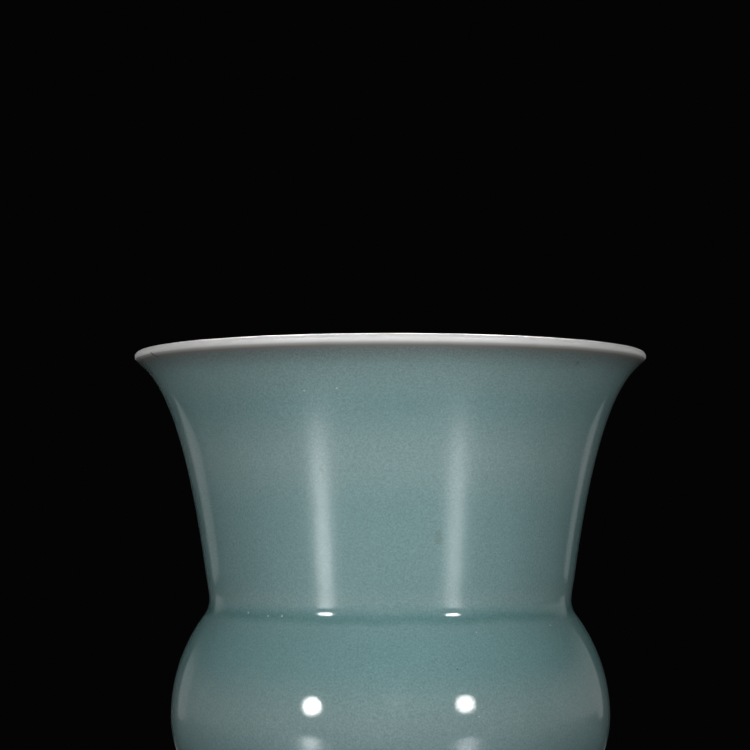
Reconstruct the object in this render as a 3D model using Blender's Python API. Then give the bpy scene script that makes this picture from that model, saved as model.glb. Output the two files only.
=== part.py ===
"""Celadon leys jar: thrown on the wheel in sections, luted together with slip, and glazed.

Every piece is turned about the Z axis, and the jar stands on Z = 0. Lengths are in metres and
angles in degrees. The outline of the glazed outside is drawn once, from the foot to the lip. The
inside, the clay walls, the slip joints and the glaze coats are all measured in from it.
"""

import math

import bmesh
import bpy

# Foot ring
FOOT_RADIUS = 0.0266
FOOT_SPLAY = 8.0
FOOT_FILLET = 0.0015
FOOT_RING_WIDTH = 0.0027
FOOT_EDGE_ROUND = 0.0005
GLAZE_LINE = 0.0012

# Belly: the widest point, its height, and the arcs below and above it
BELLY_RADIUS = 0.0366
BELLY_HEIGHT = 0.0224
LOWER_ARC = 0.0175
SHOULDER_ARC = 0.0272

# Waist, trumpet neck and lip
WAIST_RADIUS = 0.0304
WAIST_FILLET = 0.0040
NECK_HEIGHT = 0.0414
NECK_LEAN = 7.3
RIM_RADIUS = 0.0430
LIP_FLARE = 40.0
NECK_TENSION = 0.874
LIP_TENSION = 0.064

# Thickness of the finished wall, glaze included
LIP_THICKNESS = 0.0015
WAIST_WALL = 0.0026
BELLY_WALL = 0.0028
FLOOR_THICKNESS = 0.0030

# Glaze coats and luted joints
GLAZE = 0.0003
LUTE = 0.0006
LUTE_BEVEL = 0.0008
FIT = 0.0001

# Facets
SEGMENTS = 36
FOOT_CURVE_SPANS = 2
LOWER_ARC_SPANS = 5
FLOOR_ARC_SPANS = 6
SHOULDER_SPANS = 4
WAIST_SPANS = 4
NECK_SPANS = 9
LIP_SPANS = 6
EDGE_SPANS = 2
AXIS_MERGE = 0.00001
SMOOTH_ANGLE = 40.0

CELADON = (0.190, 0.305, 0.300, 1.0)
CELADON_INSIDE = (0.215, 0.330, 0.320, 1.0)
LIP_WHITE = (0.720, 0.715, 0.700, 1.0)
PORCELAIN = (0.760, 0.720, 0.650, 1.0)
SLIP = (0.700, 0.670, 0.610, 1.0)
BISCUIT_ROUGHNESS = 0.75
SLIP_ROUGHNESS = 0.85
GLAZE_ROUGHNESS = 0.12


class Station:
    """A point on a glazed face, with the unit normal that points away from the clay."""

    def __init__(self, radius, height, normal_radius, normal_height):
        self.radius = radius
        self.height = height
        self.normal = (normal_radius, normal_height)

    def sunk(self, depth):
        """The (radius, height) point that lies depth below this face."""
        return self.radius - depth * self.normal[0], self.height - depth * self.normal[1]


def arc(centre, radius, start, end, spans, hollow=False):
    """Stations along an arc from one angle to another, in radians. A hollow arc faces its centre."""
    side = -1.0 if hollow else 1.0
    stations = []
    for step in range(spans + 1):
        angle = start + (end - start) * step / spans
        across, up = math.cos(angle), math.sin(angle)
        stations.append(
            Station(centre[0] + radius * across, centre[1] + radius * up, side * across, side * up)
        )
    return stations


def bezier(start, start_handle, end_handle, end, spans):
    """Stations along a cubic curve that climbs the outside of the jar."""
    stations = []
    for step in range(spans + 1):
        t = step / spans
        s = 1.0 - t
        weights = (s * s * s, 3 * s * s * t, 3 * s * t * t, t * t * t)
        slopes = (-3 * s * s, 3 * s * s - 6 * s * t, 6 * s * t - 3 * t * t, 3 * t * t)
        points = (start, start_handle, end_handle, end)
        radius, height = (sum(w * p[i] for w, p in zip(weights, points)) for i in (0, 1))
        run, rise = (sum(w * p[i] for w, p in zip(slopes, points)) for i in (0, 1))
        length = math.hypot(run, rise)
        stations.append(Station(radius, height, rise / length, -run / length))
    return stations


def foot_fillet_centre(belly_centre):
    """Centre of the fillet that touches the lower belly and the splayed wall of the foot."""
    splay = math.radians(FOOT_SPLAY)
    wall = (math.cos(splay), math.sin(splay))
    offset = FOOT_RADIUS * wall[0] + FOOT_FILLET
    reach = LOWER_ARC + FOOT_FILLET
    along = offset - belly_centre[0] * wall[0] - belly_centre[1] * wall[1]
    drop = math.sqrt(reach * reach - along * along)
    return (
        belly_centre[0] + along * wall[0] + drop * wall[1],
        belly_centre[1] + along * wall[1] - drop * wall[0],
    )


def outside_of_foot_and_belly(lower_centre):
    """The splayed foot wall, the fillet above it, and the lower belly up to the widest point."""
    splay = math.radians(FOOT_SPLAY)
    fillet = foot_fillet_centre(lower_centre)
    touch = math.atan2(fillet[1] - lower_centre[1], fillet[0] - lower_centre[0])
    ground = Station(FOOT_RADIUS, 0.0, math.cos(splay), math.sin(splay))
    hollow = arc(fillet, FOOT_FILLET, math.pi + splay, math.pi + touch, FOOT_CURVE_SPANS, True)
    lower = arc(lower_centre, LOWER_ARC, touch, 0.0, LOWER_ARC_SPANS)
    return [ground] + hollow + lower[1:]


def outside_of_shoulder_and_waist():
    """The shoulder above the widest point, and the hollow fillet of the waist up to the neck."""
    shoulder_centre = (BELLY_RADIUS - SHOULDER_ARC, BELLY_HEIGHT)
    waist_across = WAIST_RADIUS + WAIST_FILLET
    reach = SHOULDER_ARC + WAIST_FILLET
    waist_height = BELLY_HEIGHT + math.sqrt(reach**2 - (waist_across - shoulder_centre[0]) ** 2)
    waist_centre = (waist_across, waist_height)
    touch = math.atan2(waist_height - BELLY_HEIGHT, waist_across - shoulder_centre[0])
    shoulder = arc(shoulder_centre, SHOULDER_ARC, 0.0, touch, SHOULDER_SPANS)
    top = math.pi - math.radians(NECK_LEAN)
    waist = arc(waist_centre, WAIST_FILLET, math.pi + touch, top, WAIST_SPANS, True)
    return shoulder, waist, waist_height


def outside_of_neck(foot_of_neck, lip_centre):
    """The trumpet neck, from the top of the waist fillet to the underside of the lip."""
    lean, flare = math.radians(NECK_LEAN), math.radians(LIP_FLARE)
    lip_radius = LIP_THICKNESS / 2
    start = (foot_of_neck.radius, foot_of_neck.height)
    end = (lip_centre[0] + lip_radius * math.cos(flare), lip_centre[1] - lip_radius * math.sin(flare))
    reach = math.dist(start, end)
    low, high = NECK_TENSION * reach, LIP_TENSION * reach
    start_handle = (start[0] + low * math.sin(lean), start[1] + low * math.cos(lean))
    end_handle = (end[0] - high * math.sin(flare), end[1] - high * math.cos(flare))
    return bezier(start, start_handle, end_handle, end, NECK_SPANS)


def across_the_wall(outside, first_wall, last_wall):
    """Stations on the inside, opposite those outside, as the wall changes evenly along them."""
    last = len(outside) - 1
    inside = []
    for step, station in enumerate(outside):
        wall = first_wall + (last_wall - first_wall) * step / last
        radius, height = station.sunk(wall)
        inside.append(Station(radius, height, -station.normal[0], -station.normal[1]))
    return inside


def skin(stations, depth):
    """The outline that lies a constant depth below a glazed face."""
    return [station.sunk(depth) for station in stations]


def between(outline, low, high):
    """The stretch of a rising outline between two heights, cut square at both."""

    def at(height):
        for (r0, z0), (r1, z1) in zip(outline, outline[1:]):
            if z0 <= height <= z1:
                return r0 + (r1 - r0) * (height - z0) / (z1 - z0), height
        return outline[-1][0], height

    return [at(low)] + [point for point in outline if low < point[1] < high] + [at(high)]


def material(name, colour, roughness):
    """A plain fired finish, clay or glaze."""
    made = bpy.data.materials.new(name)
    made.use_nodes = True
    shader = made.node_tree.nodes["Principled BSDF"]
    shader.inputs["Base Color"].default_value = colour
    shader.inputs["Roughness"].default_value = roughness
    shader.inputs["Metallic"].default_value = 0.0
    return made


def turned(name, outline, finish, closed=True):
    """Turns an outline about the Z axis. A closed outline makes a ring, an open one a whole body."""
    shape = bmesh.new()
    points = [shape.verts.new((radius, 0.0, height)) for radius, height in outline]
    edges = [shape.edges.new(pair) for pair in zip(points, points[1:])]
    if closed:
        edges.append(shape.edges.new((points[-1], points[0])))
    bmesh.ops.spin(
        shape,
        geom=points + edges,
        cent=(0.0, 0.0, 0.0),
        axis=(0.0, 0.0, 1.0),
        angle=2 * math.pi,
        steps=SEGMENTS,
        use_merge=True,
    )
    bmesh.ops.remove_doubles(shape, verts=shape.verts, dist=AXIS_MERGE)
    bmesh.ops.recalc_face_normals(shape, faces=shape.faces)
    for face in shape.faces:
        face.smooth = True
    for edge in shape.edges:
        edge.smooth = edge.calc_face_angle(0.0) < math.radians(SMOOTH_ANGLE)
    mesh = bpy.data.meshes.new(name)
    shape.to_mesh(mesh)
    shape.free()
    mesh.materials.append(finish)
    bpy.context.scene.collection.objects.link(bpy.data.objects.new(name, mesh))


def ring(name, outer, inner, finish):
    """A turned ring between a rising outer outline and a rising inner one."""
    turned(name, outer + list(reversed(inner)), finish)


def foot_ring_outline(clay_face, inner_radius, top):
    """The foot's clay, with its two lower edges rounded and a flat rim to stand on."""
    outer = between(clay_face, FOOT_EDGE_ROUND, top)
    edge = outer[0][0] - FOOT_EDGE_ROUND
    outside_round = arc((edge, FOOT_EDGE_ROUND), FOOT_EDGE_ROUND, 0.0, -math.pi / 2, EDGE_SPANS)
    hollow = (inner_radius + FOOT_EDGE_ROUND, FOOT_EDGE_ROUND)
    inside_round = arc(hollow, FOOT_EDGE_ROUND, -math.pi / 2, -math.pi, EDGE_SPANS)
    rim = skin(outside_round[1:] + inside_round, 0.0)
    return list(reversed(outer)) + rim + [(inner_radius, top)]


def base_glaze_outline(edge_radius, ceiling):
    """The coat in the recess under the jar: a disc with a skirt down the inside of the foot."""
    inner_edge = edge_radius - GLAZE
    return [
        (0.0, ceiling),
        (edge_radius, ceiling),
        (edge_radius, GLAZE_LINE),
        (inner_edge, GLAZE_LINE),
        (inner_edge, ceiling - GLAZE),
        (0.0, ceiling - GLAZE),
    ]


def lip_outline(lip_centre, outer_radius, inner_radius, gap):
    """A rounded band over the lip, between two radii, with a gap left at each of its ends."""
    under = -math.radians(LIP_FLARE)
    first, last = under + gap / outer_radius, under + math.pi - gap / outer_radius
    over = skin(arc(lip_centre, outer_radius, first, last, LIP_SPANS), 0.0)
    back = skin(arc(lip_centre, inner_radius, first, last, LIP_SPANS), 0.0)
    return list(reversed(over)) + back


def build():
    # The glazed faces, drawn from the foot to the lip
    lower_centre = (BELLY_RADIUS - LOWER_ARC, BELLY_HEIGHT)
    foot_and_belly = outside_of_foot_and_belly(lower_centre)
    shoulder, waist, waist_height = outside_of_shoulder_and_waist()
    lip_centre = (RIM_RADIUS - LIP_THICKNESS / 2, waist_height + NECK_HEIGHT - LIP_THICKNESS / 2)
    neck = outside_of_neck(waist[-1], lip_centre)
    outside = foot_and_belly + shoulder[1:] + waist[1:] + neck[1:]

    floor_arc_radius = LOWER_ARC - BELLY_WALL
    floor_height = BELLY_HEIGHT - floor_arc_radius
    floor = [Station(0.0, floor_height, 0.0, 1.0)]
    floor += arc(lower_centre, floor_arc_radius, -math.pi / 2, 0.0, FLOOR_ARC_SPANS, True)
    shoulder_inside = across_the_wall(shoulder, BELLY_WALL, WAIST_WALL)
    waist_inside = across_the_wall(waist, WAIST_WALL, WAIST_WALL)
    neck_inside = across_the_wall(neck, WAIST_WALL, LIP_THICKNESS)
    inside = floor + shoulder_inside[1:] + waist_inside[1:] + neck_inside[1:]

    # The clay, one glaze coat and its fit below each face
    sunk = GLAZE + FIT
    clay_face = skin(outside, sunk)
    clay_back = skin(inside, sunk)
    base = floor_height - FLOOR_THICKNESS
    half = LUTE / 2
    joints = {"belly": BELLY_HEIGHT, "neck": waist_height}

    porcelain = material("porcelain_clay", PORCELAIN, BISCUIT_ROUGHNESS)
    slip = material("luting_slip", SLIP, SLIP_ROUGHNESS)
    celadon = material("celadon_glaze", CELADON, GLAZE_ROUGHNESS)
    celadon_inside = material("celadon_glaze_inside", CELADON_INSIDE, GLAZE_ROUGHNESS)
    white = material("white_lip_glaze", LIP_WHITE, GLAZE_ROUGHNESS)

    # Foot ring and its joint to the underside of the bowl
    foot_top = base - LUTE - 2 * FIT
    foot_outer = between(clay_face, FOOT_EDGE_ROUND, foot_top)
    foot_inner_radius = foot_outer[-1][0] - FOOT_RING_WIDTH
    turned("foot_ring", foot_ring_outline(clay_face, foot_inner_radius, foot_top), porcelain)
    lute_face = between(clay_face, foot_top + FIT, base - FIT)
    lute_back = [(foot_inner_radius, lute_face[0][1]), (foot_inner_radius, lute_face[-1][1])]
    ring("foot_lute", lute_face, lute_back, slip)

    # Lower belly: a bowl with a flat underside
    edge = joints["belly"] - half - FIT
    bowl_face = between(clay_face, base, edge)
    bowl_back = [point for point in clay_back if point[1] < edge - LUTE_BEVEL]
    bowl_edge = between(clay_back, floor_height, edge - LUTE_BEVEL)[-1:]
    bowl = bowl_back + bowl_edge + list(reversed(bowl_face)) + [(0.0, base)]
    turned("lower_belly", bowl, porcelain, closed=False)

    # Shoulder, from the belly joint to the waist joint
    low, high = joints["belly"] + half + FIT, joints["neck"] - half - FIT
    ring(
        "shoulder",
        between(clay_face, low, high),
        between(clay_back, low - LUTE_BEVEL, high - LUTE_BEVEL),
        porcelain,
    )

    # Slip in the two bevelled joints of the wall
    for place, height in joints.items():
        low, high = height - half, height + half
        ring(
            place + "_lute",
            between(clay_face, low, high),
            between(clay_back, low - LUTE_BEVEL, high - LUTE_BEVEL),
            slip,
        )

    # Trumpet neck, ending in the rounded clay of the lip
    low = joints["neck"] + half + FIT
    neck_face = between(clay_face, low, clay_face[-1][1])
    neck_back = between(clay_back, low - LUTE_BEVEL, clay_back[-1][1])
    under = -math.radians(LIP_FLARE)
    lip_clay = LIP_THICKNESS / 2 - sunk
    lip_cap = skin(arc(lip_centre, lip_clay, under, under + math.pi, LIP_SPANS), 0.0)
    ring("trumpet_neck", neck_face + lip_cap[1:-1], neck_back, porcelain)

    # Glaze coats
    outer_face = between(skin(outside, 0.0), GLAZE_LINE, outside[-1].height)
    outer_back = between(skin(outside, GLAZE), GLAZE_LINE, skin(outside, GLAZE)[-1][1])
    ring("outer_glaze", outer_face, outer_back, celadon)
    inner_face = skin(inside, 0.0)
    inner_back = skin(inside, GLAZE)
    turned("inner_glaze", inner_back + list(reversed(inner_face)), celadon_inside, closed=False)
    band = lip_outline(lip_centre, LIP_THICKNESS / 2, LIP_THICKNESS / 2 - GLAZE, FIT)
    turned("lip_glaze", band, white)
    base_coat = base_glaze_outline(foot_inner_radius - FIT, base - FIT)
    turned("base_glaze", base_coat, celadon, closed=False)


for leftover in list(bpy.data.objects):
    bpy.data.objects.remove(leftover)
build()
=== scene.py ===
"""Looks of the celadon leys jar: smooth turned pieces, fired finishes, studio and camera.

Lengths are in metres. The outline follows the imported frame: the rim, belly and waist are read from
it, and the arcs between them are named below.
"""

import math

import bpy
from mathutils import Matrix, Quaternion, Vector


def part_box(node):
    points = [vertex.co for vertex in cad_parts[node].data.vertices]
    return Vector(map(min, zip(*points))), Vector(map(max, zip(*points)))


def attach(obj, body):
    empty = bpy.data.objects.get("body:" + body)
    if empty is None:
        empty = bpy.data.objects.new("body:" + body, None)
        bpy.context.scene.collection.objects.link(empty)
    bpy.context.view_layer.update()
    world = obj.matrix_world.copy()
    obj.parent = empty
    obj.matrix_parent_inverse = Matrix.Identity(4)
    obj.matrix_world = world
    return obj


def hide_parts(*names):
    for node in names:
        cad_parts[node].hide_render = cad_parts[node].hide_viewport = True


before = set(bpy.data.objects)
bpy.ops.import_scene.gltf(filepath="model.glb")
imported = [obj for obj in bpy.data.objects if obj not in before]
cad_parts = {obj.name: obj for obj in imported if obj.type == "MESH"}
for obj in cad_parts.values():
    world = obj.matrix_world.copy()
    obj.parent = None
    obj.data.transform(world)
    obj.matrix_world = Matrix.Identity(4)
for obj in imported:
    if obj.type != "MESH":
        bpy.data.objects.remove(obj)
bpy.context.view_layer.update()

# Coats, slip and walls
GLAZE = 0.0003
FIT = 0.0001
SUNK = GLAZE + FIT
LUTE = 0.0006
LUTE_BEVEL = 0.0008
LIP_THICKNESS = 0.0015
WAIST_WALL = 0.0026
BELLY_WALL = 0.0028
FLOOR_THICKNESS = 0.0030
BASE_CORNER = 0.0006

# Places read from the frame
RIM_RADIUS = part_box("lip_glaze")[1].x
RIM_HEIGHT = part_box("lip_glaze")[1].z
BELLY_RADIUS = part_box("belly_lute")[1].x + SUNK
BELLY_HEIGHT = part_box("belly_lute")[1].z - LUTE / 2
WAIST_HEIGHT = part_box("neck_lute")[1].z - LUTE / 2
GLAZE_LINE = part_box("outer_glaze")[0].z

# Arcs and angles of the outline
FOOT_RADIUS = 0.0266
FOOT_SPLAY = math.radians(8.0)
FOOT_FILLET = 0.0015
FOOT_RING_WIDTH = 0.0027
FOOT_EDGE_ROUND = 0.0005
LOWER_ARC = 0.0175
SHOULDER_ARC = 0.0272
WAIST_RADIUS = 0.0304
WAIST_FILLET = 0.0040
NECK_LEAN = math.radians(7.3)
LIP_FLARE = math.radians(40.0)
NECK_TENSION = 0.874
LIP_TENSION = 0.064
GROOVE_RISE = 0.0013
GROOVE_ABOVE = 0.0017
GROOVE_BELOW = 0.0016
GROOVE_DEPTH = 0.00009

# Fineness of the turned pieces
SEGMENTS = 200
HIDDEN_SEGMENTS = 96
FOOT_SPANS = 12
BELLY_SPANS = 32
SHOULDER_SPANS = 28
WAIST_SPANS = 24
NECK_SPANS = 80
NECK_CROWDING = 1.6
LIP_SPANS = 48
LIP_BACK_SPANS = 16
LIP_CLAY_SPANS = 12
FLOOR_RINGS = 12
BEAD_SPANS = 8
GLAZE_BEAD_SPANS = 10
SHARP_ANGLE = math.radians(50.0)

# Marks of the wheel
SEED = 7
WOBBLE = 0.000008
RIDGES = (0.000045, 0.0055)
NO_RIDGES = (0.0, 0.006)
ON_AXIS = 0.00001
SEAM_MERGE = 0.0000005


class Station:
    """A point on a glazed face, with the unit normal that points away from the clay."""

    def __init__(self, radius, height, normal_radius, normal_height):
        self.radius = radius
        self.height = height
        self.normal = (normal_radius, normal_height)

    def sunk(self, depth):
        """The (radius, height) point that lies depth below this face."""
        return self.radius - depth * self.normal[0], self.height - depth * self.normal[1]


def arc(centre, radius, start, end, spans, hollow=False):
    """Stations along an arc. A hollow arc faces its centre."""
    side = -1.0 if hollow else 1.0
    stations = []
    for step in range(spans + 1):
        angle = start + (end - start) * step / spans
        across, up = math.cos(angle), math.sin(angle)
        stations.append(
            Station(centre[0] + radius * across, centre[1] + radius * up, side * across, side * up)
        )
    return stations


def bezier(points, spans):
    """Stations along a cubic curve that climbs the outside of the jar, closest at its start."""
    stations = []
    for step in range(spans + 1):
        t = (step / spans) ** NECK_CROWDING
        s = 1.0 - t
        weights = (s * s * s, 3 * s * s * t, 3 * s * t * t, t * t * t)
        slopes = (-3 * s * s, 3 * s * s - 6 * s * t, 6 * s * t - 3 * t * t, 3 * t * t)
        radius, height = (sum(w * p[i] for w, p in zip(weights, points)) for i in (0, 1))
        run, rise = (sum(w * p[i] for w, p in zip(slopes, points)) for i in (0, 1))
        length = math.hypot(run, rise)
        stations.append(Station(radius, height, rise / length, -run / length))
    return stations


def outside_of_foot_and_belly(centre):
    """The splayed foot wall, the fillet above it, and the lower belly up to the widest point."""
    wall = (math.cos(FOOT_SPLAY), math.sin(FOOT_SPLAY))
    reach = LOWER_ARC + FOOT_FILLET
    along = FOOT_RADIUS * wall[0] + FOOT_FILLET - centre[0] * wall[0] - centre[1] * wall[1]
    drop = math.sqrt(reach * reach - along * along)
    fillet = (
        centre[0] + along * wall[0] + drop * wall[1],
        centre[1] + along * wall[1] - drop * wall[0],
    )
    touch = math.atan2(fillet[1] - centre[1], fillet[0] - centre[0])
    ground = Station(FOOT_RADIUS, 0.0, *wall)
    hollow = arc(fillet, FOOT_FILLET, math.pi + FOOT_SPLAY, math.pi + touch, FOOT_SPANS, True)
    return [ground] + hollow + arc(centre, LOWER_ARC, touch, 0.0, BELLY_SPANS)[1:]


def outside_of_shoulder_and_waist():
    """The shoulder above the widest point, and the hollow fillet of the waist up to the neck."""
    shoulder_centre = (BELLY_RADIUS - SHOULDER_ARC, BELLY_HEIGHT)
    waist_centre = (WAIST_RADIUS + WAIST_FILLET, WAIST_HEIGHT)
    touch = math.atan2(waist_centre[1] - shoulder_centre[1], waist_centre[0] - shoulder_centre[0])
    shoulder = arc(shoulder_centre, SHOULDER_ARC, 0.0, touch, SHOULDER_SPANS)
    top = math.pi - NECK_LEAN
    waist = arc(waist_centre, WAIST_FILLET, math.pi + touch, top, WAIST_SPANS, True)
    return shoulder, waist


def outside_of_neck(foot_of_neck, lip_centre):
    """The trumpet neck, from the top of the waist fillet to the underside of the lip."""
    start = (foot_of_neck.radius, foot_of_neck.height)
    end = (
        lip_centre[0] + LIP_THICKNESS / 2 * math.cos(LIP_FLARE),
        lip_centre[1] - LIP_THICKNESS / 2 * math.sin(LIP_FLARE),
    )
    reach = math.dist(start, end)
    low, high = NECK_TENSION * reach, LIP_TENSION * reach
    start_handle = (start[0] + low * math.sin(NECK_LEAN), start[1] + low * math.cos(NECK_LEAN))
    end_handle = (end[0] - high * math.sin(LIP_FLARE), end[1] - high * math.cos(LIP_FLARE))
    return bezier((start, start_handle, end_handle, end), NECK_SPANS)


def tooled(stations):
    """The outside with the shallow groove that the potter's tool left above the waist."""
    middle = WAIST_HEIGHT + GROOVE_RISE
    grooved = []
    for station in stations:
        width = GROOVE_ABOVE if station.height > middle else GROOVE_BELOW
        off = (station.height - middle) / width
        depth = GROOVE_DEPTH * math.exp(-off * off)
        tilt = station.normal[1] - station.normal[0] * depth * 2.0 * off / width
        length = math.hypot(station.normal[0], tilt)
        normal = (station.normal[0] / length, tilt / length)
        grooved.append(Station(station.radius - depth, station.height, *normal))
    return grooved


def across_the_wall(outside, first_wall, last_wall):
    """Stations on the inside, opposite those outside, as the wall changes evenly along them."""
    last = len(outside) - 1
    inside = []
    for step, station in enumerate(outside):
        wall = first_wall + (last_wall - first_wall) * step / last
        inside.append(Station(*station.sunk(wall), -station.normal[0], -station.normal[1]))
    return inside


def skin(stations, depth=0.0):
    """The outline that lies a constant depth below a glazed face."""
    return [station.sunk(depth) for station in stations]


def between(outline, low, high):
    """The stretch of a rising outline between two heights, cut square at both."""

    def at(height):
        for (r0, z0), (r1, z1) in zip(outline, outline[1:]):
            if z0 <= height <= z1:
                return r0 + (r1 - r0) * (height - z0) / (z1 - z0), height
        return outline[-1][0], height

    return [at(low)] + [point for point in outline if low < point[1] < high] + [at(high)]


def ring(outer, inner):
    """A closed outline between a rising outer line and a rising inner one."""
    return outer + list(reversed(inner))


class Profile:
    """The faces of the jar, and the outline of each piece between them."""

    def __init__(self):
        lower_centre = (BELLY_RADIUS - LOWER_ARC, BELLY_HEIGHT)
        shoulder, waist = outside_of_shoulder_and_waist()
        self.lip_centre = (RIM_RADIUS - LIP_THICKNESS / 2, RIM_HEIGHT - LIP_THICKNESS / 2)
        neck = outside_of_neck(waist[-1], self.lip_centre)
        outside = outside_of_foot_and_belly(lower_centre) + shoulder[1:] + waist[1:] + neck[1:]
        outside = tooled(outside)
        floor_arc = LOWER_ARC - BELLY_WALL
        self.floor_height = BELLY_HEIGHT - floor_arc
        self.base = self.floor_height - FLOOR_THICKNESS
        floor = [
            Station(lower_centre[0] * part / FLOOR_RINGS, self.floor_height, 0.0, 1.0)
            for part in range(FLOOR_RINGS)
        ]
        floor += arc(lower_centre, floor_arc, -math.pi / 2, 0.0, BELLY_SPANS, True)
        inside = floor + across_the_wall(shoulder, BELLY_WALL, WAIST_WALL)[1:]
        inside += across_the_wall(waist, WAIST_WALL, WAIST_WALL)[1:]
        inside += across_the_wall(neck, WAIST_WALL, LIP_THICKNESS)[1:]
        self.outside, self.inside = outside, inside
        self.clay_face, self.clay_back = skin(outside, SUNK), skin(inside, SUNK)
        self.foot_top = self.base - LUTE - 2 * FIT
        foot_face = between(self.clay_face, FOOT_EDGE_ROUND, self.foot_top)
        self.foot_bore = foot_face[-1][0] - FOOT_RING_WIDTH

    def wall(self, low, high):
        """Clay or slip between two heights, with the joint's bevel at both ends."""
        return ring(
            between(self.clay_face, low, high),
            between(self.clay_back, low - LUTE_BEVEL, high - LUTE_BEVEL),
        )

    def lute(self, height):
        return self.wall(height - LUTE / 2, height + LUTE / 2)

    def shoulder(self):
        return self.wall(BELLY_HEIGHT + LUTE / 2 + FIT, WAIST_HEIGHT - LUTE / 2 - FIT)

    def trumpet_neck(self):
        low = WAIST_HEIGHT + LUTE / 2 + FIT
        face = between(self.clay_face, low, self.clay_face[-1][1])
        back = between(self.clay_back, low - LUTE_BEVEL, self.clay_back[-1][1])
        first, last = -LIP_FLARE, math.pi - LIP_FLARE
        cap = arc(self.lip_centre, LIP_THICKNESS / 2 - SUNK, first, last, LIP_CLAY_SPANS)
        return ring(face + skin(cap)[1:-1], back)

    def lower_belly(self):
        edge = BELLY_HEIGHT - LUTE / 2 - FIT
        inner_edge = between(self.clay_back, self.floor_height, edge - LUTE_BEVEL)[-1]
        inner = [point for point in self.clay_back if point[1] < inner_edge[1]] + [inner_edge]
        outer = between(self.clay_face, self.base, edge)
        return inner + list(reversed(outer)) + [(0.0, self.base)]

    def foot_ring(self):
        outer = between(self.clay_face, FOOT_EDGE_ROUND, self.foot_top)
        edge = (outer[0][0] - FOOT_EDGE_ROUND, FOOT_EDGE_ROUND)
        hollow = (self.foot_bore + FOOT_EDGE_ROUND, FOOT_EDGE_ROUND)
        rim = arc(edge, FOOT_EDGE_ROUND, 0.0, -math.pi / 2, BEAD_SPANS)[1:]
        rim += arc(hollow, FOOT_EDGE_ROUND, -math.pi / 2, -math.pi, BEAD_SPANS)
        return list(reversed(outer)) + skin(rim) + [(self.foot_bore, self.foot_top)]

    def foot_lute(self):
        face = between(self.clay_face, self.foot_top + FIT, self.base - FIT)
        return ring(face, [(self.foot_bore, face[0][1]), (self.foot_bore, face[-1][1])])

    def outer_glaze(self):
        """The coat, rolled over at its lower edge where the glaze stopped running."""
        roll = GLAZE / 2
        start = GLAZE_LINE + roll
        face = between(skin(self.outside), start, self.outside[-1].height)
        back = between(skin(self.outside, GLAZE), start, skin(self.outside, GLAZE)[-1][1])
        middle = ((face[0][0] + back[0][0]) / 2, start)
        bead = arc(middle, (face[0][0] - back[0][0]) / 2, -math.pi, 0.0, GLAZE_BEAD_SPANS)
        return skin(bead)[1:-1] + ring(face, back)

    def inner_glaze(self):
        return skin(self.inside, GLAZE) + list(reversed(skin(self.inside)))

    def lip_glaze(self):
        first, last = -LIP_FLARE, math.pi - LIP_FLARE
        over = skin(arc(self.lip_centre, LIP_THICKNESS / 2, first, last, LIP_SPANS))
        back = arc(self.lip_centre, LIP_THICKNESS / 2 - GLAZE, first, last, LIP_BACK_SPANS)
        return ring(over, skin(back))

    def base_glaze(self):
        """A disc with a skirt down the inside of the foot, and a soft corner between them."""
        edge, top = self.foot_bore - FIT, self.base - FIT
        inner_edge, under = edge - GLAZE, top - GLAZE
        corner_centre = (inner_edge - BASE_CORNER, under - BASE_CORNER)
        corner = arc(corner_centre, BASE_CORNER, 0.0, math.pi / 2, BEAD_SPANS)
        bead_centre = (edge - GLAZE / 2, GLAZE_LINE + GLAZE / 2)
        bead = arc(bead_centre, GLAZE / 2, 0.0, -math.pi, BEAD_SPANS)
        rings = range(FLOOR_RINGS - 1, -1, -1)
        disc = [(inner_edge * part / FLOOR_RINGS, under) for part in rings]
        return [(0.0, top), (edge, top)] + skin(bead) + skin(corner) + disc


class Value:
    """An output of a node. Sums on it add Math nodes to its tree."""

    def __init__(self, tree, socket):
        self.tree = tree
        self.socket = socket

    def _math(self, operation, first, second):
        return self.tree.node("ShaderNodeMath", {"operation": operation}, {0: first, 1: second})

    def __add__(self, other):
        return self._math("ADD", self, other)

    def __radd__(self, other):
        return self._math("ADD", other, self)

    def __sub__(self, other):
        return self._math("SUBTRACT", self, other)

    def __rsub__(self, other):
        return self._math("SUBTRACT", other, self)

    def __mul__(self, other):
        return self._math("MULTIPLY", self, other)

    def __rmul__(self, other):
        return self._math("MULTIPLY", other, self)

    def __truediv__(self, other):
        return self._math("DIVIDE", self, other)

    def __mod__(self, other):
        return self._math("FLOORED_MODULO", self, other)

    def floor(self):
        return self._math("FLOOR", self, 0.0)

    def sine(self):
        return self._math("SINE", self, 0.0)

    def cosine(self):
        return self._math("COSINE", self, 0.0)


class Tree:
    """A node tree, filled one node at a time."""

    def __init__(self, tree):
        self.tree = tree

    def node(self, kind, settings=None, inputs=None, output=0):
        """Adds a node. Its settings are set first, then its sockets get values or links."""
        made = self.tree.nodes.new(kind)
        for name, value in (settings or {}).items():
            setattr(made, name, value)
        for key, value in (inputs or {}).items():
            if isinstance(value, Value):
                self.tree.links.new(value.socket, made.inputs[key])
            else:
                made.inputs[key].default_value = value
        return Value(self, made.outputs[output]) if made.outputs else made

    def step(self, value, start, end):
        """Rises smoothly from 0 at start to 1 at end."""
        settings = {"interpolation_type": "SMOOTHSTEP"}
        return self.node("ShaderNodeMapRange", settings, {0: value, 1: start, 2: end})

    def fade(self, value, start, end):
        """Falls smoothly from 1 at start to 0 at end."""
        return 1.0 - self.step(value, start, end)


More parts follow.
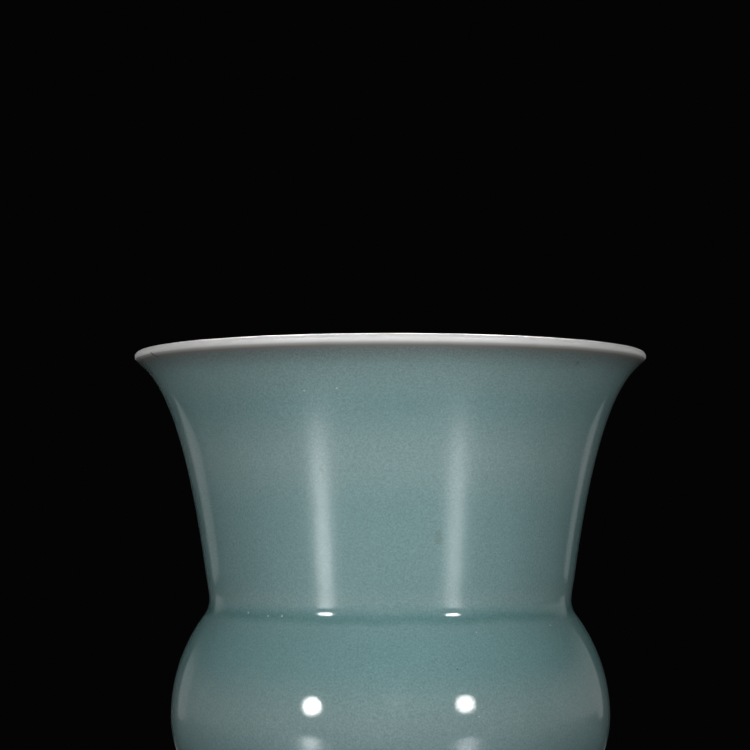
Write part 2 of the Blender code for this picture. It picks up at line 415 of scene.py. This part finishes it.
class Recipe(Tree):
    """A fired finish. What changes over the surface is mixed here, on Object coordinates."""

    def __init__(self, name):
        self.material = bpy.data.materials.new(name)
        self.material.use_nodes = True
        super().__init__(self.material.node_tree)
        self.tree.nodes.clear()
        self.place = self.node("ShaderNodeTexCoord", output="Object")
        self.height = self.node("ShaderNodeSeparateXYZ", inputs={0: self.place}, output="Z")

    def grain(self, size, detail=2.0, roughness=0.5):
        """Noise from 0 to 1 with features of about this size."""
        sockets = {"Vector": self.place, "Scale": 1.0 / size}
        sockets.update({"Detail": detail, "Roughness": roughness})
        return self.node("ShaderNodeTexNoise", inputs=sockets, output=0)

    def blend(self, share, first, second, how="MIX"):
        settings = {"data_type": "RGBA", "blend_type": how}
        return self.node("ShaderNodeMix", settings, {0: share, 6: first, 7: second}, output=2)

    def near(self, point, size):
        """1 at a point of the piece, fading to 0 at this distance from it."""
        settings = {"operation": "DISTANCE"}
        ends = {0: self.place, 1: point}
        gap = self.node("ShaderNodeVectorMath", settings, ends, output="Value")
        return self.fade(gap, size * 0.35, size)

    def specks(self, spacing, size, share):
        """Sparse round specks: one in a share of the cells of a random grid."""
        sockets = {"Vector": self.place, "Scale": 1.0 / spacing, "Randomness": 1.0}
        gap = self.node("ShaderNodeTexVoronoi", inputs=sockets, output="Distance")
        tint = self.node("ShaderNodeTexVoronoi", inputs=sockets, output="Color")
        pick = self.node("ShaderNodeSeparateColor", inputs={0: tint}, output=0)
        spot = self.fade(gap, size / spacing * 0.4, size / spacing)
        return spot * self.fade(pick, share, share + 0.01)

    def bump(self, relief, depth):
        """A normal from a relief of 0 to 1, as high as the depth."""
        sockets = {"Strength": 1.0, "Distance": depth, "Height": relief}
        return self.node("ShaderNodeBump", inputs=sockets)

    def fired(self, colour, roughness, normal, gloss):
        sockets = {"Base Color": colour, "Roughness": roughness, "Normal": normal, "IOR": gloss}
        shader = self.node("ShaderNodeBsdfPrincipled", inputs=sockets)
        self.node("ShaderNodeOutputMaterial", inputs={0: shader})
        return self.material


# Colours, as fired
CELADON = (0.186, 0.302, 0.307, 1.0)
CELADON_PALE = (0.246, 0.348, 0.350, 1.0)
CELADON_DEEP = (0.100, 0.214, 0.217, 1.0)
CELADON_GREEN = (0.130, 0.278, 0.283, 1.0)
CELADON_GREY = (0.204, 0.252, 0.250, 1.0)
LIP_WHITE = (0.875, 0.873, 0.866, 1.0)
LIP_EDGE = (0.250, 0.242, 0.228, 1.0)
# Darkens the nick on the lip.
LIP_NICK_DARK = (0.060, 0.064, 0.058, 1.0)
LIP_PITS = (0.300, 0.250, 0.190, 1.0)
IRON_BROWN = (0.078, 0.092, 0.060, 1.0)
# Pale of the pinholes, also used for the painted glints of the seam grit.
PINHOLE_AND_GLINT_WHITE = (0.600, 0.640, 0.630, 1.0)
BISCUIT = (0.720, 0.670, 0.590, 1.0)
BISCUIT_FLASHED = (0.560, 0.330, 0.170, 1.0)
BISCUIT_SOILED = (0.300, 0.255, 0.205, 1.0)
SLIP = (0.660, 0.630, 0.570, 1.0)
CLAY = (0.740, 0.715, 0.665, 1.0)
GLAZE_IOR = 1.52
CLAY_IOR = 1.45
GLAZE_RELIEF = 0.000006

# Where the coat thins to white at the lip, and where it pools
LIP_LINE = RIM_HEIGHT - 0.00180
WHITE_LINE = RIM_HEIGHT - 0.00090
LIP_EDGE_WIDTH = 0.00030
GREY_DEPTH = 0.0030
# Bands of the coat, the neck band partly painted reflection and the belly band partly painted shade:
# top, heart, bottom, the share of its colour at the heart, and that colour
MOUTH_BAND = (
    RIM_HEIGHT + 0.0060,
    RIM_HEIGHT - 0.0050,
    RIM_HEIGHT - 0.0110,
    0.58,
    CELADON_PALE,
)
# A pale band round the middle of the neck: partly the coat's colour, mostly painted reflection.
NECK_BAND_AND_REFLECTION = (0.0735, 0.0645, 0.0555, 0.70, CELADON_PALE)
WAIST_EDGE = (
    WAIST_HEIGHT + 0.0042,
    WAIST_HEIGHT + 0.0013,
    WAIST_HEIGHT + 0.0002,
    0.35,
    CELADON_PALE,
)
WAIST_POOL = (
    WAIST_HEIGHT + 0.0007,
    WAIST_HEIGHT - 0.0012,
    WAIST_HEIGHT - 0.0026,
    0.82,
    CELADON_DEEP,
)
SHOULDER_POOL = (WAIST_HEIGHT + 0.0005, 0.0355, 0.0255, 0.40, CELADON_GREEN)
# Pale at the belly's widest and darker below it towards the bottom: the pale is partly the coat's
# colour, the darkening is painted shade.
BELLY_BAND_AND_SHADE = (0.0330, 0.0246, 0.0175, 0.80, CELADON_PALE)
FOOT_POOL = (0.0090, 0.0060, 0.0042, 0.70, CELADON_DEEP)
OUTER_BANDS = (
    MOUTH_BAND,
    NECK_BAND_AND_REFLECTION,
    WAIST_EDGE,
    SHOULDER_POOL,
    WAIST_POOL,
    BELLY_BAND_AND_SHADE,
    FOOT_POOL,
)

# Flaws of this jar: degrees round from the front, height, and size
IRON_SPOTS = (
    (13.5, 0.0519, 0.00090),
    (13.2, 0.0530, 0.00070),
    (-17.9, 0.0626, 0.00045),
    (-37.0, 0.0594, 0.00035),
)
DARK_DOTS = ((45.2, 0.0790, 0.00060),)
PINHOLES = (
    (-19.9, 0.0744, 0.00018),
    (-12.1, 0.0747, 0.00020),
    (53.3, 0.0382, 0.00022),
    (24.5, 0.0379, 0.00016),
    (21.3, 0.0258, 0.00016),
)
# Grit at the seam, drawn as white dots over small dents: painted glints.
SEAM_GRIT_GLINTS = (
    (-47.0, 0.0403, 0.00026),
    (-38.4, 0.0400, 0.00022),
    (-33.2, 0.0401, 0.00026),
)
LIP_NICK = (
    (-62.4, 0.0812, 0.00036),
    (-62.0, 0.0810, 0.00034),
    (-61.3, 0.0808, 0.00028),
    (-60.7, 0.0806, 0.00024),
)
# How strongly each kind of flaw shows
IRON_SHARE = 0.27
DOT_SHARE = 0.30
PINHOLE_SHARE = 0.70
# How strongly the seam grit's painted glints show.
GRIT_GLINT_SHARE = 0.60
NICK_SHARE = 0.80


def on_face(profile, degrees, height):
    """The point of the outside at this angle round from the front and at this height."""
    radius = between(skin(profile.outside), height, height)[0][0]
    angle = math.radians(degrees)
    return radius * math.sin(angle), -radius * math.cos(angle), height


def marked(recipe, profile, flaws):
    """1 on each of the listed flaws of the outside."""
    mask = 0.0
    for degrees, height, size in flaws:
        mask = recipe.near(on_face(profile, degrees, height), size) + mask
    return mask


def thinned(recipe, coat, white):
    """The coat running thin up the lip: its own colour, a brownish edge, then white."""
    line = recipe.height + (recipe.grain(0.0050, 2.0, 0.5) - 0.5) * 0.00012
    colour = recipe.blend(recipe.step(line, LIP_LINE - LIP_EDGE_WIDTH, LIP_LINE), coat, LIP_EDGE)
    return recipe.blend(recipe.step(line, LIP_LINE, WHITE_LINE), colour, white)


def celadon(name, profile, bands, flawed=False):
    """Celadon over white porcelain: pale on the wall, deep where it pools, white at the lip; the
    neck band is partly painted reflection and the belly band darkens downwards as painted shade.
    """
    recipe = Recipe(name)
    stipple = recipe.grain(0.00028, 1.0, 0.5)
    cloud = recipe.grain(0.0110, 3.0, 0.55)
    drift = recipe.grain(0.0050, 2.0, 0.5)
    uneven = recipe.height + (drift - 0.5) * 0.0010
    colour = CELADON
    # Among the bands are painted reflection on the neck and painted shade low on the belly.
    for top, heart, bottom, share, tint in bands:
        band = recipe.step(uneven, bottom, heart) * recipe.fade(uneven, heart, top)
        colour = recipe.blend(band * share, colour, tint)
    greying = recipe.step(uneven, LIP_LINE - GREY_DEPTH, LIP_LINE)
    colour = recipe.blend(greying, colour, CELADON_GREY)
    for share, first, second in (
        (cloud, (0.94, 0.95, 0.95, 1.0), (1.06, 1.05, 1.05, 1.0)),
        (stipple, (0.66, 0.68, 0.68, 1.0), (1.34, 1.32, 1.32, 1.0)),
    ):
        colour = recipe.blend(1.0, colour, recipe.blend(share, first, second), "MULTIPLY")
    iron = recipe.specks(0.0090, 0.00016, 0.16)
    pits_and_glints = recipe.specks(0.0105, 0.00013, 0.14)
    relief = recipe.grain(0.00030, 1.0, 0.5)
    if flawed:
        iron = iron + marked(recipe, profile, IRON_SPOTS) * IRON_SHARE
        iron = iron + marked(recipe, profile, DARK_DOTS) * DOT_SHARE
        pits_and_glints = pits_and_glints + marked(recipe, profile, PINHOLES) * PINHOLE_SHARE
        # The seam grit gets painted glints: white dots.
        pits_and_glints = pits_and_glints + marked(recipe, profile, SEAM_GRIT_GLINTS) * GRIT_GLINT_SHARE
    colour = recipe.blend(iron, colour, IRON_BROWN)
    colour = recipe.blend(pits_and_glints, colour, PINHOLE_AND_GLINT_WHITE)
    colour = thinned(recipe, colour, LIP_WHITE)
    if flawed:
        nick = marked(recipe, profile, LIP_NICK) * NICK_SHARE
        colour = recipe.blend(nick, colour, LIP_NICK_DARK)
    roughness = 0.05 + stipple * 0.03 + pits_and_glints * 0.2
    normal = recipe.bump(relief - pits_and_glints * 1.5, GLAZE_RELIEF)
    return recipe.fired(colour, roughness, normal, GLAZE_IOR)


def white_lip(profile):
    """White porcelain under a coat too thin to colour, a little soiled in its pinholes, and darker
    at its nick.
    """
    recipe = Recipe("white lip")
    cloud = recipe.grain(0.0045, 3.0, 0.55)
    fine = recipe.grain(0.00050, 2.0, 0.5)
    white = recipe.blend(cloud, (0.840, 0.837, 0.828, 1.0), (0.910, 0.909, 0.904, 1.0))
    colour = thinned(recipe, CELADON_GREY, white)
    nick = marked(recipe, profile, LIP_NICK)
    colour = recipe.blend(recipe.specks(0.0070, 0.00016, 0.12), colour, LIP_PITS)
    colour = recipe.blend(nick * NICK_SHARE, colour, LIP_NICK_DARK)
    roughness = 0.26 + fine * 0.08
    normal = recipe.bump(fine - nick * 4.0, GLAZE_RELIEF)
    return recipe.fired(colour, roughness, normal, GLAZE_IOR)


def biscuit():
    """Bare porcelain of the foot: flashed orange by the glaze line, soiled where it stands."""
    recipe = Recipe("bare foot rim")
    sand = recipe.grain(0.00035, 3.0, 0.6)
    cloud = recipe.grain(0.0060, 3.0, 0.55)
    colour = recipe.blend(sand, BISCUIT, CLAY)
    flash = recipe.step(recipe.height + (cloud - 0.5) * 0.0012, 0.0003, GLAZE_LINE)
    colour = recipe.blend(flash * 0.6, colour, BISCUIT_FLASHED)
    worn = recipe.fade(recipe.height, 0.0, 0.0004) * recipe.step(cloud, 0.45, 0.65)
    colour = recipe.blend(worn * 0.5, colour, BISCUIT_SOILED)
    colour = recipe.blend(recipe.specks(0.0035, 0.00014, 0.3), colour, BISCUIT_SOILED)
    roughness = 0.62 + sand * 0.2
    return recipe.fired(colour, roughness, recipe.bump(sand, 0.00002), CLAY_IOR)


def raw(name, base, size):
    """Fired clay or slip inside the wall, with turning marks round the axis."""
    recipe = Recipe(name)
    sand = recipe.grain(size, 3.0, 0.6)
    turning = (recipe.height * (2 * math.pi / 0.0011)).sine() * 0.5 + 0.5
    shade = recipe.blend(sand, (0.88, 0.88, 0.88, 1.0), (1.1, 1.1, 1.1, 1.0))
    colour = recipe.blend(1.0, base, shade, "MULTIPLY")
    roughness = 0.7 + sand * 0.15
    normal = recipe.bump(sand * 0.5 + turning * 0.5, 0.00003)
    return recipe.fired(colour, roughness, normal, CLAY_IOR)


def wheel_tree():
    """A potter's wheel: turns an outline about Z, with a slow wobble and throwing ridges."""
    tree = bpy.data.node_groups.new("potters wheel", "GeometryNodeTree")
    sockets = (
        ("Outline", "NodeSocketGeometry"),
        ("Closed", "NodeSocketInt"),
        ("Segments", "NodeSocketInt"),
        ("Wobble", "NodeSocketFloat"),
        ("Ridge Depth", "NodeSocketFloat"),
        ("Ridge Pitch", "NodeSocketFloat"),
        ("Seed", "NodeSocketFloat"),
        ("Finish", "NodeSocketMaterial"),
    )
    for name, kind in sockets:
        tree.interface.new_socket(name, in_out="INPUT", socket_type=kind)
    tree.interface.new_socket("Piece", in_out="OUTPUT", socket_type="NodeSocketGeometry")
    wheel = Tree(tree)
    given = tree.nodes.new("NodeGroupInput")
    take = {name: Value(wheel, given.outputs[name]) for name, _ in sockets}

    outline = {0: take["Outline"]}
    count = wheel.node("GeometryNodeAttributeDomainSize", inputs=outline, output="Point Count")
    columns = take["Segments"] + 1.0
    grid_sockets = {"Vertices X": count + take["Closed"], "Vertices Y": columns}
    grid = wheel.node("GeometryNodeMeshGrid", inputs=grid_sockets, output="Mesh")
    index = wheel.node("GeometryNodeInputIndex")
    row = (index / columns).floor() % count
    turn = (index % columns) % take["Segments"] * (2 * math.pi) / take["Segments"]
    outline_place = wheel.node("GeometryNodeInputPosition")
    sample = {"data_type": "FLOAT_VECTOR", "domain": "POINT"}
    sample_sockets = {"Geometry": take["Outline"], "Value": outline_place, "Index": row}
    picked = wheel.node("GeometryNodeSampleIndex", sample, sample_sockets)
    radius = wheel.node("ShaderNodeSeparateXYZ", inputs={0: picked}, output="X")
    height = wheel.node("ShaderNodeSeparateXYZ", inputs={0: picked}, output="Z")

    around = {0: turn.cosine(), 1: turn.sine(), 2: height * 40.0}
    lean = wheel.node("ShaderNodeCombineXYZ", inputs=around)
    noise_sockets = {"Vector": lean, "W": take["Seed"], "Scale": 0.9, "Detail": 1.0}
    noise = wheel.node("ShaderNodeTexNoise", {"noise_dimensions": "4D"}, noise_sockets)
    spiral = (height / take["Ridge Pitch"] * (2 * math.pi) + turn).sine()
    moved = radius + (noise - 0.5) * take["Wobble"] * 2.0 + spiral * take["Ridge Depth"]
    below = {"operation": "LESS_THAN"}
    on_axis = wheel.node("FunctionNodeCompare", below, {0: radius, 1: ON_AXIS})
    number = {"input_type": "FLOAT"}
    kept = wheel.node("GeometryNodeSwitch", number, {0: on_axis, 1: moved, 2: 0.0})
    place = {0: kept * turn.cosine(), 1: kept * turn.sine(), 2: height}
    spot = wheel.node("ShaderNodeCombineXYZ", inputs=place)
    turned = wheel.node("GeometryNodeSetPosition", inputs={"Geometry": grid, "Position": spot})
    merge = {"Geometry": turned, "Distance": SEAM_MERGE}
    closed = wheel.node("GeometryNodeMergeByDistance", inputs=merge)
    shade = {"Geometry": closed, "Shade Smooth": True}
    smooth = wheel.node("GeometryNodeSetShadeSmooth", inputs=shade)
    whole = wheel.node("GeometryNodeRealizeInstances", inputs={"Geometry": smooth})
    dress = {"Geometry": whole, "Material": take["Finish"]}
    dressed = wheel.node("GeometryNodeSetMaterial", inputs=dress)
    out = tree.nodes.new("NodeGroupOutput")
    tree.links.new(dressed.socket, out.inputs[0])
    return tree


def faces_out(mesh):
    """Turns a closed mesh the right way round, if its volume says that it is inside out."""
    volume = 0.0
    for face in mesh.polygons:
        corners = [mesh.vertices[i].co for i in face.vertices]
        for second, third in zip(corners[1:], corners[2:]):
            volume += corners[0].dot(second.cross(third))
    if volume < 0.0:
        mesh.flip_normals()


def throw(
    node, outline, finish, closed=True, segments=SEGMENTS, wobble=0.0, ridges=NO_RIDGES
):
    """Turns one piece on the wheel and puts it in place of its node."""
    line = bpy.data.meshes.new(node + "_outline")
    line.from_pydata([(radius, 0.0, height) for radius, height in outline], [], [])
    piece = bpy.data.objects.new(node + "_piece", line)
    bpy.context.scene.collection.objects.link(piece)
    modifier = piece.modifiers.new("wheel", "NODES")
    modifier.node_group = WHEEL
    values = {
        "Closed": int(closed),
        "Segments": segments,
        "Wobble": wobble,
        "Ridge Depth": ridges[0],
        "Ridge Pitch": ridges[1],
        "Seed": float(SEED),
        "Finish": finish,
    }
    for item in WHEEL.interface.items_tree:
        if item.in_out == "INPUT" and item.name in values:
            modifier[item.identifier] = values[item.name]
    evaluated = piece.evaluated_get(bpy.context.evaluated_depsgraph_get())
    mesh = bpy.data.meshes.new_from_object(evaluated)
    mesh.name = node + "_piece"
    piece.modifiers.remove(modifier)
    piece.data = mesh
    faces_out(mesh)
    mesh.set_sharp_from_angle(angle=SHARP_ANGLE)
    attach(piece, "root")
    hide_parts(node)
    return piece


def make_jar():
    jar = Profile()
    outside = celadon("celadon outside", jar, OUTER_BANDS, flawed=True)
    floor = jar.floor_height
    floor_pool = (floor + 0.0050, floor, floor - 0.0010, 0.75, CELADON_DEEP)
    inside = celadon("celadon inside", jar, (floor_pool,))
    under = celadon("celadon under the foot", jar, ())
    lip = white_lip(jar)
    foot = biscuit()
    clay = raw("porcelain in the wall", CLAY, 0.0004)
    slip = raw("luting slip", SLIP, 0.0007)
    throw("outer_glaze", jar.outer_glaze(), outside, wobble=WOBBLE)
    throw("lip_glaze", jar.lip_glaze(), lip, wobble=WOBBLE)
    coat = jar.inner_glaze()
    throw("inner_glaze", coat, inside, False, wobble=WOBBLE, ridges=RIDGES)
    throw("base_glaze", jar.base_glaze(), under, False)
    throw("foot_ring", jar.foot_ring(), foot)
    throw("lower_belly", jar.lower_belly(), clay, False, HIDDEN_SEGMENTS)
    throw("shoulder", jar.shoulder(), clay, True, HIDDEN_SEGMENTS)
    throw("trumpet_neck", jar.trumpet_neck(), clay, True, HIDDEN_SEGMENTS)
    throw("foot_lute", jar.foot_lute(), slip, True, HIDDEN_SEGMENTS)
    throw("belly_lute", jar.lute(BELLY_HEIGHT), slip, True, HIDDEN_SEGMENTS)
    throw("neck_lute", jar.lute(WAIST_HEIGHT), slip, True, HIDDEN_SEGMENTS)


# Studio
TABLE_FRONT = -0.184
TABLE_BACK = 0.095
TABLE_HALF_WIDTH = 0.450
TABLE_THICKNESS = 0.006
TABLE_PALE = (0.60, 0.60, 0.59, 1.0)
TABLE_PALER = (0.64, 0.64, 0.63, 1.0)
TABLE_DIM = (0.018, 0.018, 0.018, 1.0)
TABLE_MIRROR = (0.735, 0.760, 0.795, 1.0)
TABLE_SHEEN = 0.40
TABLE_MATT = 0.85
SHEEN_FULL = -0.060
SHEEN_END = -0.020
GREYISH = (0.95, 1.0, 0.95)
AIM_HEIGHT = 0.047
SOFT_EDGE = 0.20
STUDIO_DARK = (0.0012, 0.0012, 0.0012, 1.0)
STRIP_SOFT = 0.08
PANEL_FOOT = (0.05, 0.10)
PANEL_TOP = (0.42, 0.80)
# Lamps: bearing round from the front, rise above the belly's level, distance, power, width,
# height, roll
LAMPS = {
    "left lamp": (-39.7, 12.5, 0.904, 3.15, 0.172, 0.196, 12.8),
    "right lamp": (38.3, 14.2, 0.904, 2.20, 0.176, 0.190, -18.0),
    "back lamp": (180.0, 26.0, 0.750, 6.50, 0.350, 0.250, 0.0),
}
# Panels beside the jar: as the lamps, then the width of the strip at the back edge, and how
# bright the rest is
PANELS = {
    "left panel": (-116.0, 8.0, 0.615, 0.145, 0.600, 0.320, 0.0, 0.26, 0.50),
    "right panel": (116.0, 11.8, 0.615, 0.190, 0.600, 0.400, 0.0, 0.16, 1.10),
}
# Washes light the coat and aren't mirrored in it: as the lamps, then the height aimed at and
# the spread
WASHES = {
    "front wash": (3.0, 16.0, 0.167, 0.0115, 0.030, 0.030, 0.0, 0.047, 60.0),
    "left neck wash": (-75.0, 18.0, 0.220, 0.0030, 0.030, 0.030, 0.0, 0.055, 60.0),
    "right neck wash": (75.0, 18.0, 0.220, 0.0024, 0.030, 0.030, 0.0, 0.055, 60.0),
    "mouth wash": (0.0, 90.0, 0.600, 0.0068, 0.030, 0.030, 0.0, 0.047, 14.0),
    "left wash": (-125.0, 10.0, 0.600, 0.08, 0.300, 0.300, 0.0, 0.047, 180.0),
    "right wash": (125.0, 10.0, 0.600, 0.12, 0.300, 0.300, 0.0, 0.047, 180.0),
}


def table_top():
    """A plain pale table that ends close behind the jar, with a sheen in front of it."""
    recipe = Recipe("pale table")
    fine = recipe.grain(0.0020, 2.0, 0.5)
    seen = recipe.node("ShaderNodeLightPath", output="Is Camera Ray")
    mirrored = recipe.node("ShaderNodeLightPath", output="Is Glossy Ray")
    colour = recipe.blend(seen, TABLE_DIM, recipe.blend(fine, TABLE_PALE, TABLE_PALER))
    ahead = recipe.node("ShaderNodeSeparateXYZ", inputs={0: recipe.place}, output="Y")
    sheen = recipe.blend(recipe.fade(ahead, SHEEN_FULL, SHEEN_END), TABLE_DIM, TABLE_MIRROR)
    colour = recipe.blend(mirrored, colour, sheen)
    roughness = TABLE_MATT + mirrored * (TABLE_SHEEN - TABLE_MATT)
    sockets = {"Base Color": colour, "Metallic": mirrored, "Roughness": roughness}
    shader = recipe.node("ShaderNodeBsdfPrincipled", inputs=sockets)
    recipe.node("ShaderNodeOutputMaterial", inputs={0: shader})
    across, front, back, low = TABLE_HALF_WIDTH, TABLE_FRONT, TABLE_BACK, -TABLE_THICKNESS
    plan = ((-across, front), (across, front), (across, back), (-across, back))
    corners = [(x, y, z) for z in (low, 0.0) for x, y in plan]
    sides = [(3, 2, 1, 0), (4, 5, 6, 7), (0, 1, 5, 4), (1, 2, 6, 5), (2, 3, 7, 6), (3, 0, 4, 7)]
    mesh = bpy.data.meshes.new("table")
    mesh.from_pydata(corners, [], sides)
    mesh.materials.append(recipe.material)
    table = bpy.data.objects.new("table", mesh)
    bpy.context.scene.collection.objects.link(table)


def lamp(name, bearing, rise, distance, power, width, height, roll, aim=AIM_HEIGHT):
    """A soft lamp that faces the jar and isn't seen itself."""
    data = bpy.data.lights.new(name, "AREA")
    data.shape = "ELLIPSE"
    data.size, data.size_y = width, height
    data.energy = power
    angle, up = math.radians(bearing), math.radians(rise)
    level = distance * math.cos(up)
    light = bpy.data.objects.new(name, data)
    above = BELLY_HEIGHT + distance * math.sin(up)
    light.location = (level * math.sin(angle), -level * math.cos(angle), above)
    away = light.location - Vector((0.0, 0.0, aim))
    turn = away.to_track_quat("Z", "Y") @ Quaternion((0.0, 0.0, 1.0), math.radians(roll))
    light.rotation_euler = turn.to_euler()
    light.visible_camera = False
    bpy.context.scene.collection.objects.link(light)
    return light


def beam(light):
    """A tree for what a lamp gives off over its face, and the two directions across that face."""
    light.data.use_nodes = True
    tree = Tree(light.data.node_tree)
    tree.tree.nodes.clear()
    face = tree.node("ShaderNodeNewGeometry", output="Parametric")
    across = tree.node("ShaderNodeSeparateXYZ", inputs={0: face}, output="X")
    up = tree.node("ShaderNodeSeparateXYZ", inputs={0: face}, output="Y")
    return tree, across, up


def give_off(tree, strength):
    glow = tree.node("ShaderNodeEmission", inputs={"Strength": strength})
    tree.node("ShaderNodeOutputLight", inputs={0: glow})


def light_studio():
    for name, facts in LAMPS.items():
        tree, across, up = beam(lamp(name, *facts))
        off = (across - 0.5) * (across - 0.5) + (up - 0.5) * (up - 0.5)
        give_off(tree, tree.fade(off, (0.5 - SOFT_EDGE) ** 2, 0.25))
    for name, (*facts, edge, share) in PANELS.items():
        light = lamp(name, *facts)
        light.data.shape = "RECTANGLE"
        light.data.color = GREYISH
        tree, across, up = beam(light)
        strip = tree.fade(across if facts[0] < 0.0 else 1.0 - across, edge, edge + STRIP_SOFT)
        rest = (1.0 - strip) * tree.step(up, *PANEL_FOOT) * share
        give_off(tree, (strip + rest) * tree.fade(up, *PANEL_TOP))
    for name, (*facts, spread) in WASHES.items():
        light = lamp(name, *facts)
        light.data.spread = math.radians(spread)
        light.visible_glossy = False
    world = bpy.data.worlds.new("dark studio")
    world.use_nodes = True
    world.node_tree.nodes["Background"].inputs["Color"].default_value = STUDIO_DARK
    bpy.context.scene.world = world


# Camera, from the photograph's view
CAMERA_DISTANCE = 0.3051
CAMERA_ABOVE_WAIST = 0.01843
CAMERA_PITCH = 3.661
CAMERA_YAW = 0.481
CAMERA_LENS = 86.4
CAMERA_SENSOR = 36.0


def set_camera():
    data = bpy.data.cameras.new("camera")
    data.lens = CAMERA_LENS
    data.sensor_width = CAMERA_SENSOR
    data.clip_start = 0.01
    camera = bpy.data.objects.new("camera", data)
    camera.location = (0.0, -CAMERA_DISTANCE, WAIST_HEIGHT + CAMERA_ABOVE_WAIST)
    camera.rotation_euler = (math.radians(90.0 + CAMERA_PITCH), 0.0, math.radians(CAMERA_YAW))
    bpy.context.scene.collection.objects.link(camera)
    bpy.context.scene.camera = camera


WHEEL = wheel_tree()
make_jar()
table_top()
light_studio()
set_camera()
bpy.context.scene.view_settings.view_transform = "Standard"
